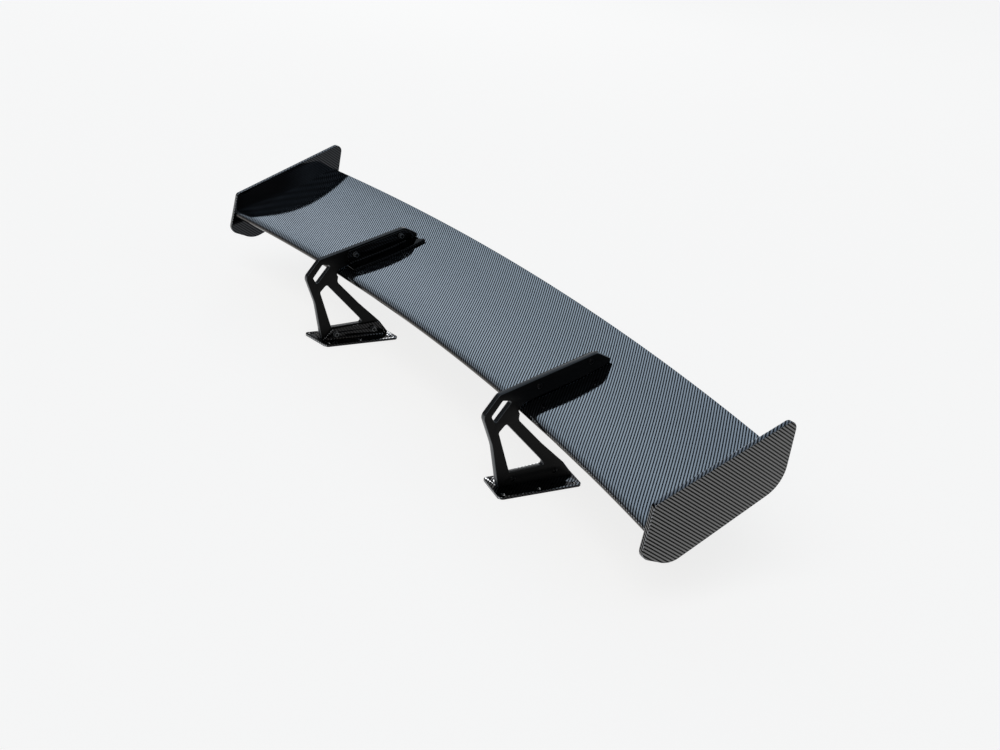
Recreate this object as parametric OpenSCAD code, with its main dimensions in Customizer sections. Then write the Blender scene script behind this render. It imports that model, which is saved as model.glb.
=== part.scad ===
// Racing rear wing: a hollow carbon blade bowed in plan, hung under two swan-neck uprights.
// X runs along the span, -Y towards the nose of the car, +Z up. The origin is under the
// middle of the wing, on the plane that the base plates rest on. Left is the +X side.

/* [Overall] */
// Width over the two end plates
wing_w = 1400; // [1200:10:1500]
// Distance between the middle planes of the two uprights
upright_gap = 624; // [560:2:680]

/* [Blade] */
// Chord of the blade, nose to trailing edge
chord = 216; // [206:1:220]
// Angle of the chord to the plane of the base plates
blade_angle = 23; // [22.4:0.1:23.4]
// Depth of the camber line below the chord, as a share of the chord
camber = 0.06; // [0.055:0.001:0.065]
// Thickness of the trailing edge
trailing_t = 1.6; // [1.2:0.1:2]
// Wall of the moulded skins
skin_t = 1.6; // [1.2:0.1:1.8]
// How far the tips sit ahead of the middle of the span
bow_depth = 49; // [44:1:54]
// Rise of the plane of that bow towards the rear
bow_tilt = 9.3; // [8:0.1:10]

/* [End plates] */
// Thickness of an end plate
end_plate_t = 8; // [6:0.5:10]

/* [Uprights and brackets] */
// Thickness of an upright
upright_t = 10; // [8:0.5:12]
// Wall of the moulded brackets and of the base plates
bracket_t = 4; // [3:0.5:5]
// Reach of a top bracket's flange over the blade, from the upright
flange_reach = 30; // [26:1:36]
// Gap between the nose of the blade and the edge of the upright that wraps it
neck_gap = 2.5; // [2:0.1:3]

/* [Base plates] */
// Width of a base plate
base_w = 70; // [68:1:80]
// Length of a base plate
base_len = 146.5; // [144:0.5:150]
// Distance of each hole row from the middle of the base plate
hole_row = 26; // [25:0.5:27]
// Spacing of the holes along a row
hole_pitch = 62; // [60:0.5:63]
// Diameter of the holes in the base plates
hole_d = 6.5; // [5.5:0.1:7]

/* [Fasteners] */
// Thread diameter of the screws
screw_d = 5; // [4:0.5:5]
// Diameter of a screw head
head_d = 9.5; // [8:0.1:10]
// Height of a screw head
head_h = 2.75; // [2.2:0.05:3]
// Width across the flats of a nut
nut_flats = 8; // [7:0.1:8.5]
// Height of a nut
nut_h = 5; // [4:0.1:5]

/* [Hidden] */
$fn = 64;

carbon = [0.16, 0.17, 0.19];
black_metal = [0.09, 0.09, 0.09];
foam = [0.85, 0.78, 0.55];
plywood = [0.72, 0.55, 0.36];
steel = [0.45, 0.45, 0.46];

// Places are given in the plane of an upright as [y, z] from the front of its foot.
nose_y = 36.8;
nose_z = 122.5;
arm_bolts = [[55.3, 157.7], [143, 186.6]];
foot_bolts = [[27, 10], [101, 13]];
plate_dowels = [0.3, 0.62];
upright_x = upright_gap / 2;
blade_half = wing_w / 2 - end_plate_t;
end_rib_t = 12;
dowel_d = 6;
dowel_depth = 5;
glue = 0.15;
tip_gap = 0.5;
corner_steps = 6;

// Blade section. q is the square root of the distance along the chord, as a share of it:
// positive on the upper side, negative on the lower side, and zero at the nose.
section_steps = 20;
bond_start = 0.92;
bond_q = sqrt(bond_start);
spar_q = [0.40, 0.42];
rear_spar_q = [0.78, 0.79];

function camber_line(s) = -4 * camber * chord * s * (1 - s);
function half_thickness(q) =
  chord * (1 - q * q) * (0.22 * q - 0.12 * q * abs(q)) + trailing_t / 2 * q * abs(q);
function section(q) = [chord * q * q, camber_line(q * q) + half_thickness(q)];
function unit(v) = v / norm(v);
function section_way(q) = unit(section(q + 0.001) - section(q - 0.001));
function section_off(q, d) = let (way = section_way(q)) section(q) + d * [-way.y, way.x];
function run(from, to, steps) = [for (i = [0:steps]) from + (to - from) * i / steps];
function inside(q) = section_off(q, -skin_t - glue);

// Bow of the blade: an arc through the middle of the span and both tips.
bow_r = (blade_half * blade_half + bow_depth * bow_depth) / (2 * bow_depth);
sweep = 2 * asin((blade_half + 8) / bow_r);
bow_at_upright = bow_r - sqrt(bow_r * bow_r - upright_x * upright_x);

// Place of a point of the section, as [y, z] in the plane of an upright.
function turned(p, a) = [p.x * cos(a) - p.y * sin(a), p.x * sin(a) + p.y * cos(a)];
function at_upright(p) =
  [nose_y, nose_z] + turned(p, blade_angle) - bow_at_upright * [cos(bow_tilt), sin(bow_tilt)];

// A corner b of an outline, between a and c, rounded to radius r.
function wrapped(a) = a > 180 ? a - 360 : a < -180 ? a + 360 : a;
function corner(a, b, c, r) =
  r == 0 ? [b] :
  let (
    u = unit(a - b),
    v = unit(c - b),
    half = acos(u * v) / 2,
    middle = b + unit(u + v) * r / sin(half),
    first = b + u * r / tan(half) - middle,
    last = b + v * r / tan(half) - middle,
    start = atan2(first.y, first.x),
    turn = wrapped(atan2(last.y, last.x) - start)
  )
  [for (k = [0:corner_steps]) let (angle = start + turn * k / corner_steps)
    middle + r * [cos(angle), sin(angle)]];
function rounded(corners) =
  let (n = len(corners))
  [for (i = [0:n - 1]) let (a = corners[(i + n - 1) % n], b = corners[i], c = corners[(i + 1) % n])
    each corner([a[0], a[1]], [b[0], b[1]], [c[0], c[1]], b[2])];

// Outlines, each corner as [y, z, radius].
arm_gap = [for (q = run(0.865, -0.05, 18)) [q, neck_gap + (tip_gap - neck_gap) * max(0, q)]];
arm_under = [for (g = arm_gap) let (p = at_upright(section_off(g[0], g[1]))) [p.x, p.y, 0]];
upright_outline = rounded(concat(
  [
    [26, 106.6, 9], [72, 62.3, 150], [115.5, 24.6, 12], [136, 0, 2], [2.2, 0, 2], [-14.8, 70, 80],
    [-35.9, 118.5, 12], [-11.9, 150.6, 9], [152.7, 199, 14], [178.8, 187, 2]
  ],
  arm_under
));
slot_outline = rounded([[-21.8, 117.6, 3], [-5.3, 141.3, 3], [11.5, 139.1, 3], [-13.9, 105.4, 3]]);
window_outline = rounded([[5.4, 103.4, 4], [-6.5, 90, 4], [19.7, 21.5, 2], [84.4, 25.1, 4]]);
end_plate_outline = rounded([
  [-9.6, 157, 8], [208.8, 251.3, 11], [201, 153.3, 50], [29.3, 64.8, 38], [-20.4, 82.3, 15]
]);
foot_flange_outline = rounded([[3, -1, 0], [20, 19, 12], [111, 25.5, 6], [129, -1, 0]]);
flange_front = 43;
flange_rear = 180;
base_skew = 0.17;
base_middle = [2, 64.75];

front_edge = min([for (p = upright_outline) p.x]);
rear_edge = nose_y + chord * cos(blade_angle) + trailing_t / 2 * sin(blade_angle);
middle_y = (front_edge + rear_edge) / 2;

// Moves what is drawn from the foot of the uprights to the frame of the wing.
module placed() translate([0, -middle_y, bracket_t]) children();

// Draws on the left, or as a mirror image on the right.
module on_side(side) mirror([side < 0 ? 1 : 0, 0, 0]) children();

// A plate from a [y, z] outline, with its faces at x and x + t.
module plate(x, t) translate([x, 0, 0]) rotate([90, 0, 90]) linear_extrude(t) children();

// A round bar along X through the point [y, z].
module bar(x, length, d, place)
  translate([x, place[0], place[1]]) rotate([0, 90, 0]) cylinder(d = d, h = length);

// Sweeps a part of the section along the bow, and keeps it between two planes across the span.
module along_bow(x0, x1) {
  intersection() {
    translate([0, nose_y, nose_z]) rotate([bow_tilt, 0, 0]) translate([0, -bow_r, 0])
      rotate([0, 0, 90 - sweep / 2]) rotate_extrude(angle = sweep, $fn = 1800)
        translate([bow_r, 0]) rotate(blade_angle - bow_tilt) children();
    translate([x0, -60, 0]) cube([x1 - x0, 360, 300]);
  }
}

// The part of the section's cavity between two stations along the chord.
module cavity(q0, q1, steps) {
  polygon(concat(
    [for (q = run(q0, q1, steps)) inside(q)],
    [for (q = run(-q1, q0 == 0 ? -q1 / steps : -q0, q0 == 0 ? steps - 1 : steps)) inside(q)]
  ));
}

module blade_upper_skin() {
  color(carbon) placed() along_bow(-blade_half, blade_half) polygon(concat(
    [for (q = run(0, 1, section_steps)) section(q)],
    [section(1) - [0, trailing_t / 2], [chord * bond_start, camber_line(bond_start)]],
    [for (q = run(bond_q, 0, section_steps)) section_off(q, -skin_t)]
  ));
}

module blade_lower_skin() {
  color(carbon) placed() along_bow(-blade_half, blade_half) polygon(concat(
    [for (q = run(0, -1, section_steps)) section(q)],
    [section(1) - [0, trailing_t / 2], [chord * bond_start, camber_line(bond_start)]],
    [for (q = run(-bond_q, 0, section_steps)) section_off(q, -skin_t)]
  ));
}

module nose_core() {
  inner_half = blade_half - end_rib_t;
  color(foam) placed() along_bow(-inner_half, inner_half) cavity(0, spar_q[0], 8);
}

module front_spar() {
  inner_half = blade_half - end_rib_t;
  color(carbon) placed() along_bow(-inner_half, inner_half) cavity(spar_q[0], spar_q[1], 1);
}

module rear_spar() {
  inner_half = blade_half - end_rib_t;
  color(carbon) placed() along_bow(-inner_half, inner_half) cavity(rear_spar_q[0], rear_spar_q[1], 1);
}

module tail_core() {
  inner_half = blade_half - end_rib_t;
  color(foam) placed() along_bow(-inner_half, inner_half) cavity(rear_spar_q[1], bond_q, 4);
}

module box_ribs() {
  rib_t = 3;
  rib_places = [0, 140, 420, 550];
  color(plywood) placed() for (x = rib_places, side = x == 0 ? [1] : [1, -1])
    along_bow(side * x - rib_t / 2, side * x + rib_t / 2) cavity(spar_q[1], rear_spar_q[0], 6);
}

// Block inside the blade that carries a top bracket
module hardpoint(side) {
  outer = upright_x + upright_t / 2;
  inner = upright_x - upright_t / 2 - flange_reach;
  color(plywood) placed() on_side(side) along_bow(inner, outer) cavity(spar_q[1], rear_spar_q[0], 6);
}

module dowel_bars(side, d) {
  for (s = plate_dowels)
    let (middle = [nose_y, nose_z] + turned([chord * s, camber_line(s)], blade_angle)
      - bow_depth * [cos(bow_tilt), sin(bow_tilt)])
    on_side(side) bar(blade_half - dowel_depth, 2 * dowel_depth, d, middle);
}

module end_rib(side) {
  color(plywood) placed() difference() {
    on_side(side) along_bow(blade_half - end_rib_t, blade_half) cavity(0, bond_q, 16);
    dowel_bars(side, dowel_d + 0.1);
  }
}

module end_plate(side) {
  color(carbon) placed() difference() {
    on_side(side) plate(blade_half, end_plate_t) polygon(end_plate_outline);
    dowel_bars(side, dowel_d + 0.1);
  }
}

module end_plate_dowels() {
  color(steel) placed() for (side = [1, -1]) dowel_bars(side, dowel_d);
}

module upright(side) {
  hole = screw_d + 0.5;
  color(black_metal) placed() on_side(side) difference() {
    plate(upright_x - upright_t / 2, upright_t) difference() {
      polygon(upright_outline);
      polygon(slot_outline);
      polygon(window_outline);
    }
    for (place = concat(arm_bolts, foot_bolts)) bar(upright_x - upright_t, 2 * upright_t, hole, place);
  }
}

// The flange follows the blade's upper skin, and the web stands on it against the arm.
module top_bracket(side) {
  face = upright_x - upright_t / 2;
  inner = face - flange_reach;
  web_under = [for (q = run(0.84, 0.32, 14)) let (p = at_upright(section_off(q, 2 * glue))) [p.x, p.y, 0]];
  color(carbon) placed() on_side(side) difference() {
    union() {
      plate(face - bracket_t, bracket_t)
        polygon(rounded(concat([[39, 163.2, 8], [151, 196.8, 12], [172, 188.5, 5]], web_under)));
      intersection() {
        along_bow(inner, face - bracket_t / 2) polygon(concat(
          [for (q = run(0.25, 0.92, 20)) section_off(q, glue)],
          [for (q = run(0.92, 0.25, 20)) section_off(q, bracket_t)]
        ));
        linear_extrude(300) polygon([
          [face, flange_front], [inner, flange_front], [inner, flange_rear - 2],
          [inner + 3, flange_rear], [face, flange_rear - 18]
        ]);
      }
    }
    for (place = arm_bolts) bar(face - 2 * bracket_t, 3 * bracket_t, screw_d + 0.5, place);
  }
}

// A base plate with an upstanding flange, moulded in one piece.
module foot_bracket(side) {
  face = upright_x - upright_t / 2;
  half_w = base_w / 2;
  half_len = base_len / 2;
  lean = base_skew * half_w;
  color(carbon) placed() on_side(side) difference() {
    union() {
      translate([upright_x + base_middle.x, base_middle.y, -bracket_t])
        linear_extrude(bracket_t) polygon(rounded([
          [half_w, -half_len - lean, 8], [half_w, half_len - lean, 8],
          [-half_w, half_len + lean, 8], [-half_w, -half_len + lean, 8]
        ]));
      plate(face - bracket_t, bracket_t) polygon(foot_flange_outline);
    }
    for (row = [-1, 1], place = [-1:1])
      translate([upright_x + base_middle.x, base_middle.y, -2 * bracket_t])
        translate([row * hole_row, place * hole_pitch - row * base_skew * hole_row, 0])
          cylinder(d = hole_d, h = 3 * bracket_t);
    for (place = foot_bolts) bar(face - 2 * bracket_t, 3 * bracket_t, screw_d + 0.5, place);
  }
}

// A button-head screw from outside the upright, with its hexagon socket
module screws(places) {
  outer = upright_x + upright_t / 2;
  grip = upright_t + bracket_t + 1 + nut_h + 1;
  dome_r = (head_d * head_d / 4 + head_h * head_h) / (2 * head_h);
  color(black_metal) placed() for (side = [1, -1], place = places) on_side(side) difference() {
    union() {
      bar(outer - grip, grip + 0.5, screw_d, place);
      intersection() {
        translate([outer + head_h - dome_r, place[0], place[1]]) rotate([0, 90, 0]) sphere(r = dome_r);
        bar(outer, head_h, head_d + 4, place);
      }
    }
    translate([outer + head_h - 1.6, place[0], place[1]]) rotate([0, 90, 0])
      cylinder(d = 3 / cos(30), h = 4, $fn = 6);
  }
}

module washers(places) {
  face = upright_x - upright_t / 2 - bracket_t;
  color(steel) placed() for (side = [1, -1], place = places) on_side(side) difference() {
    bar(face - 1, 1, screw_d * 2, place);
    bar(face - 2, 3, screw_d + 0.3, place);
  }
}

module nuts(places) {
  face = upright_x - upright_t / 2 - bracket_t - 1;
  color(steel) placed() for (side = [1, -1], place = places) on_side(side) difference() {
    translate([face - nut_h, place[0], place[1]]) rotate([0, 90, 0])
      cylinder(d = nut_flats / cos(30), h = nut_h, $fn = 6);
    bar(face - nut_h - 1, nut_h + 2, screw_d + 0.1, place);
  }
}

blade_upper_skin();
blade_lower_skin();
nose_core();
front_spar();
box_ribs();
hardpoint(1);  // hardpoint_left
hardpoint(-1);  // hardpoint_right
rear_spar();
tail_core();
end_rib(1);  // end_rib_left
end_rib(-1);  // end_rib_right
end_plate(1);  // end_plate_left
end_plate(-1);  // end_plate_right
end_plate_dowels();
upright(1);  // upright_left
upright(-1);  // upright_right
top_bracket(1);  // top_bracket_left
top_bracket(-1);  // top_bracket_right
foot_bracket(1);  // foot_bracket_left
foot_bracket(-1);  // foot_bracket_right
screws(arm_bolts);  // arm_screws
washers(arm_bolts);  // arm_washers
nuts(arm_bolts);  // arm_nuts
screws(foot_bolts);  // foot_screws
washers(foot_bolts);  // foot_washers
nuts(foot_bolts);  // foot_nuts
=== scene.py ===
# A racing rear wing, dressed from the inside of its blade outwards to the screws of its feet.
import math

import bmesh
import bpy
from mathutils import Matrix, Vector


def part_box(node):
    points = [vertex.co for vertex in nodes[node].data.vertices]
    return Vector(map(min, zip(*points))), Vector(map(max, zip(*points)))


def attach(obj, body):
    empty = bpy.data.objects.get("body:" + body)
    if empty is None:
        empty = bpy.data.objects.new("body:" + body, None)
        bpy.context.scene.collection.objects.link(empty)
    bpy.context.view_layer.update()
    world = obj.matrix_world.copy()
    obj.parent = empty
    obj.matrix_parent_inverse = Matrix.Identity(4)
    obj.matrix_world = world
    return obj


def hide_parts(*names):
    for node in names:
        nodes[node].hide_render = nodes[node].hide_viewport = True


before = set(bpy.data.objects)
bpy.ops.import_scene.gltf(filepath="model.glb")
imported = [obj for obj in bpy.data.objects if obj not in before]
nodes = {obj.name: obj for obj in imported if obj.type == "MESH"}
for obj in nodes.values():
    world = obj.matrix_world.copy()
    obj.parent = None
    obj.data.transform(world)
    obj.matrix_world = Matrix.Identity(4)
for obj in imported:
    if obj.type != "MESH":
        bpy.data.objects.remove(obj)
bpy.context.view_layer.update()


# ---------------------------------------------------------------------------------------
# Foam cores of the nose and the tail: closed-cell foam board, milled to the section and
# glued between the skins. Nobody sees them once the blade is closed.


def linear(code):
    """The linear colour of an sRGB hex value such as #c8b890."""
    parts = [int(code[i:i + 2], 16) / 255 for i in (1, 3, 5)]
    return [p / 12.92 if p <= 0.04045 else ((p + 0.055) / 1.055) ** 2.4 for p in parts] + [1.0]


def add(tree, kind, inputs=None, **settings):
    """Adds a node with its settings; an input takes a value, a socket or a node's first output."""
    node = tree.nodes.new(kind)
    for name, setting in settings.items():
        setattr(node, name, setting)
    for key, value in (inputs or {}).items():
        if isinstance(value, bpy.types.Node):
            value = value.outputs[0]
        if isinstance(value, bpy.types.NodeSocket):
            tree.links.new(value, node.inputs[key])
        else:
            node.inputs[key].default_value = value
    return node


def start_material(name):
    """A material with an empty tree."""
    material = bpy.data.materials.new(name)
    material.use_nodes = True
    material.node_tree.nodes.clear()
    return material, material.node_tree


def paint(node_names, material):
    """Gives CAD nodes their finish."""
    for name in node_names:
        nodes[name].data.materials.clear()
        nodes[name].data.materials.append(material)


# Closed-cell foam: matt and pale, with a skin of cut cells that reads as fine pitting, darkened in its dents
# as painted shade.
# Its cells are 0.5 mm across.
foam_cell = 0.0005
foam, tree = start_material("closed-cell foam board")
place = add(tree, "ShaderNodeTexCoord").outputs["Object"]
cells = add(tree, "ShaderNodeTexVoronoi", {"Vector": place, "Scale": 1 / foam_cell})
clouds = add(tree, "ShaderNodeTexNoise", {"Vector": place, "Scale": 40.0, "Detail": 3.0})
base = add(tree, "ShaderNodeMix", {0: clouds, 6: linear("#dccb95"), 7: linear("#e9dcb0")}, data_type="RGBA")
# The colour is darkened where the cells dent: painted shade.
pits = add(tree, "ShaderNodeMapRange", {0: cells, 1: 0.0, 2: 0.7, 3: 1.05, 4: 0.72})
colour = add(tree, "ShaderNodeVectorMath", {0: base.outputs[2], "Scale": pits}, operation="SCALE")
dents = add(tree, "ShaderNodeBump", {"Height": cells, "Strength": 0.6, "Distance": foam_cell}, invert=True)
shader = add(tree, "ShaderNodeBsdfPrincipled", {
    "Base Color": colour, "Roughness": 0.95, "IOR": 1.3, "Normal": dents})
add(tree, "ShaderNodeOutputMaterial", {"Surface": shader})
paint(["nose_core", "tail_core"], foam)


# ---------------------------------------------------------------------------------------
# Spars: two webs of unidirectional carbon, laid along the span and pressed flat, that tie
# the upper skin to the lower one in front of and behind the box.

# Cured carbon tape: near-black and satin, with 3 mm tows that run the length of the span.
tow_of_tape = 0.003
tape, tree = start_material("unidirectional carbon tape")
place = add(tree, "ShaderNodeTexCoord").outputs["Object"]
along = add(tree, "ShaderNodeMapping", {"Vector": place, "Scale": (20.0, 1 / tow_of_tape, 1 / tow_of_tape)})
tows = add(tree, "ShaderNodeTexNoise", {"Vector": along, "Scale": 1.0, "Detail": 4.0, "Roughness": 0.6})
colour = add(tree, "ShaderNodeMix", {0: tows, 6: linear("#0d0e0f"), 7: linear("#2b2d30")}, data_type="RGBA")
sheen = add(tree, "ShaderNodeMapRange", {0: tows, 3: 0.32, 4: 0.55})
ridges = add(tree, "ShaderNodeBump", {"Height": tows, "Strength": 0.4, "Distance": 0.0001})
shader = add(tree, "ShaderNodeBsdfPrincipled", {
    "Base Color": colour.outputs[2], "Roughness": sheen, "IOR": 1.55, "Normal": ridges})
add(tree, "ShaderNodeOutputMaterial", {"Surface": shader})
paint(["front_spar", "rear_spar"], tape)


# ---------------------------------------------------------------------------------------
# Ribs, hardpoints and end ribs: birch plywood, sawn to the section and glued in. The
# hardpoints carry the top brackets, and the end ribs hold the dowels of the end plates.

# Birch plywood: pale veneers 1.5 mm thick, with their grain crossed from layer to layer,
# fine brown pores along the grain, and dark glue lines on the sawn edges.
veneer = 0.0015
birch, tree = start_material("birch plywood")
place = add(tree, "ShaderNodeTexCoord").outputs["Object"]
span = add(tree, "ShaderNodeSeparateXYZ", {0: place})
layer = add(tree, "ShaderNodeMath", {0: span, 1: veneer}, operation="DIVIDE")
turn = add(tree, "ShaderNodeMath", {0: layer, 1: 2.0}, operation="FLOORED_MODULO")
crossed = add(tree, "ShaderNodeMath", {0: turn, 1: 1.0}, operation="LESS_THAN")
grain_y = add(tree, "ShaderNodeMapping", {"Vector": place, "Scale": (900.0, 60.0, 900.0)})
grain_z = add(tree, "ShaderNodeMapping", {"Vector": place, "Scale": (900.0, 900.0, 60.0)})
grain_way = add(tree, "ShaderNodeMix", {0: crossed, 4: grain_y, 5: grain_z}, data_type="VECTOR")
grain = add(tree, "ShaderNodeTexNoise", {"Vector": grain_way.outputs[1], "Scale": 1.0, "Detail": 5.0})
wood = add(tree, "ShaderNodeMix", {0: grain, 6: linear("#b98f5e"), 7: linear("#e0c193")}, data_type="RGBA")
depth = add(tree, "ShaderNodeMath", {0: layer}, operation="FRACT")
glue = add(tree, "ShaderNodeMath", {0: depth, 1: 0.07}, operation="LESS_THAN")
colour = add(tree, "ShaderNodeMix", {0: glue, 6: wood.outputs[2], 7: linear("#6b4a2c")}, data_type="RGBA")
pores = add(tree, "ShaderNodeBump", {"Height": grain, "Strength": 0.4, "Distance": 0.0002})
shader = add(tree, "ShaderNodeBsdfPrincipled", {
    "Base Color": colour.outputs[2], "Roughness": 0.7, "IOR": 1.45, "Normal": pores})
add(tree, "ShaderNodeOutputMaterial", {"Surface": shader})
paint(["box_ribs", "hardpoint_left", "hardpoint_right", "end_rib_left", "end_rib_right"], birch)


# ---------------------------------------------------------------------------------------
# Blade skins: an upper and a lower shell of carbon cloth, cured in two moulds, glued
# together along the nose and the trailing edge, and lacquered to a high gloss.
# The blade has one section all along, carried on a wide arc that bows it in plan.

chord = 0.216
camber = 0.06
trailing_edge = 0.0016
skin = 0.0016
blade_angle = math.radians(23)
bow_tilt = math.radians(9.3)
blade_half = 0.692
bow_depth = 0.049
bow_radius = (blade_half ** 2 + bow_depth ** 2) / (2 * bow_depth)
bond_start = 0.92
# The darker, warmer painted shade of the underside comes round the nose, up to where the skin faces up by
# this share.
painted_shade_limit = 0.35
# The front of the foot of the uprights: their front corner stands 34.09 mm ahead of it.
foot_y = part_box("upright_left")[0].y + 0.03409
foot_z = 0.004
nose = Vector((0.0, foot_y + 0.0368, foot_z + 0.1225))


def camber_line(s):
    return -4 * camber * chord * s * (1 - s)


def section(q):
    """A point of the section: q is 0 at the nose, 1 and -1 at the upper and lower trailing edge."""
    half = chord * (1 - q * q) * (0.22 * q - 0.12 * q * abs(q)) + trailing_edge / 2 * q * abs(q)
    return Vector((chord * q * q, camber_line(q * q) + half))


def off_section(q, distance):
    way = (section(q + 0.001) - section(q - 0.001)).normalized()
    return section(q) + distance * Vector((-way.y, way.x))


def steps(first, last, count):
    return [first + (last - first) * i / count for i in range(count + 1)]


def start_tree(name, sizes):
    """A geometry tree with named inputs, and the node that gives them."""
    tree = bpy.data.node_groups.new(name, "GeometryNodeTree")
    tree.interface.new_socket("Geometry", in_out="INPUT", socket_type="NodeSocketGeometry")
    for size, kind in sizes.items():
        tree.interface.new_socket(size, in_out="INPUT", socket_type="NodeSocket" + kind)
    tree.interface.new_socket("Geometry", in_out="OUTPUT", socket_type="NodeSocketGeometry")
    return tree, tree.nodes.new("NodeGroupInput")


def settled(piece, name):
    """The piece with its modifiers worked in, as a plain mesh object that replaces it."""
    seen = piece.evaluated_get(bpy.context.evaluated_depsgraph_get())
    mesh = bpy.data.meshes.new_from_object(seen)
    bpy.data.objects.remove(piece)
    mesh.name = name
    result = bpy.data.objects.new(name, mesh)
    bpy.context.scene.collection.objects.link(result)
    return result


def grown(name, start, tree, values):
    """Runs a geometry tree on start, a mesh or a curve, with a value for each named input."""
    piece = bpy.data.objects.new(name + "_start", start)
    bpy.context.scene.collection.objects.link(piece)
    growth = piece.modifiers.new("growth", "NODES")
    growth.node_group = tree
    for item in tree.interface.items_tree:
        if item.name in values:
            growth[item.identifier] = values[item.name]
    return settled(piece, name)


def shade(piece, angle):
    """Smooth shading, with an edge wherever two faces meet at more than the angle."""
    piece.data.shade_smooth()
    piece.data.set_sharp_from_angle(angle=math.radians(angle))


def outward(piece):
    """Merges doubles and turns every face outwards."""
    shape = bmesh.new()
    shape.from_mesh(piece.data)
    bmesh.ops.remove_doubles(shape, verts=shape.verts, dist=1e-6)
    bmesh.ops.recalc_face_normals(shape, faces=shape.faces)
    shape.to_mesh(piece.data)
    shape.free()


# The tree sweeps a closed outline along the span, then lays each point on the arc.
bowed, sizes = start_tree("bowed blade skin", {
    "Half span": "Float", "Bow radius": "Float", "Bow tilt": "Float", "Nose": "Vector",
    "Stations": "Int", "Cloth drift": "Float", "Material": "Material"})
kept = add(bowed, "GeometryNodeCaptureAttribute", {0: sizes.outputs["Geometry"]})
kept.capture_items.new("VECTOR", "Place in the section")
kept.capture_items.new("FLOAT", "Way round the section")
around = add(bowed, "GeometryNodeSplineParameter").outputs["Length"]
bowed.links.new(add(bowed, "GeometryNodeInputPosition").outputs[0], kept.inputs[1])
bowed.links.new(around, kept.inputs[2])
other_half = add(bowed, "ShaderNodeMath", {0: sizes.outputs["Half span"], 1: -1.0}, operation="MULTIPLY")
tip = add(bowed, "ShaderNodeCombineXYZ", {"X": sizes.outputs["Half span"]})
other_tip = add(bowed, "ShaderNodeCombineXYZ", {"X": other_half})
line = add(bowed, "GeometryNodeCurvePrimitiveLine", {"Start": other_tip, "End": tip})
stations = add(bowed, "GeometryNodeResampleCurve", {"Curve": line, "Count": sizes.outputs["Stations"]})
swept = add(bowed, "GeometryNodeCurveToMesh", {
    "Curve": stations, "Profile Curve": kept, "Fill Caps": True})
x = add(bowed, "ShaderNodeSeparateXYZ", {0: add(bowed, "GeometryNodeInputPosition")}).outputs["X"]
place = add(bowed, "ShaderNodeSeparateXYZ", {0: kept.outputs[1]})
radius = add(bowed, "ShaderNodeMath", {0: place.outputs["X"], 1: sizes.outputs["Bow radius"]})
square = add(bowed, "ShaderNodeMath", {0: radius, 1: radius}, operation="MULTIPLY")
x_square = add(bowed, "ShaderNodeMath", {0: x, 1: x}, operation="MULTIPLY")
rest = add(bowed, "ShaderNodeMath", {0: square, 1: x_square}, operation="SUBTRACT")
root = add(bowed, "ShaderNodeMath", {0: rest}, operation="SQRT")
back = add(bowed, "ShaderNodeMath", {0: root, 1: sizes.outputs["Bow radius"]}, operation="SUBTRACT")
level = add(bowed, "ShaderNodeCombineXYZ", {"X": x, "Y": back, "Z": place.outputs["Y"]})
tilted = add(bowed, "ShaderNodeVectorRotate", {
    "Vector": level, "Angle": sizes.outputs["Bow tilt"]}, rotation_type="X_AXIS")
there = add(bowed, "ShaderNodeVectorMath", {0: tilted, 1: sizes.outputs["Nose"]})
drift = add(bowed, "ShaderNodeMath", {0: x_square, 1: sizes.outputs["Cloth drift"]}, operation="MULTIPLY")
cloth_v = add(bowed, "ShaderNodeMath", {0: kept.outputs[2], 1: drift}, operation="SUBTRACT")
cloth = add(bowed, "ShaderNodeCombineXYZ", {"X": x, "Y": cloth_v})
laid = add(bowed, "GeometryNodeStoreNamedAttribute", {
    "Geometry": swept, "Name": "cloth", "Value": cloth}, data_type="FLOAT2", domain="CORNER")
bent = add(bowed, "GeometryNodeSetPosition", {"Geometry": laid, "Position": there})
real = add(bowed, "GeometryNodeRealizeInstances", {"Geometry": bent})
painted = add(bowed, "GeometryNodeSetMaterial", {
    "Geometry": real, "Material": sizes.outputs["Material"]})
add(bowed, "NodeGroupOutput", {"Geometry": painted})


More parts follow.
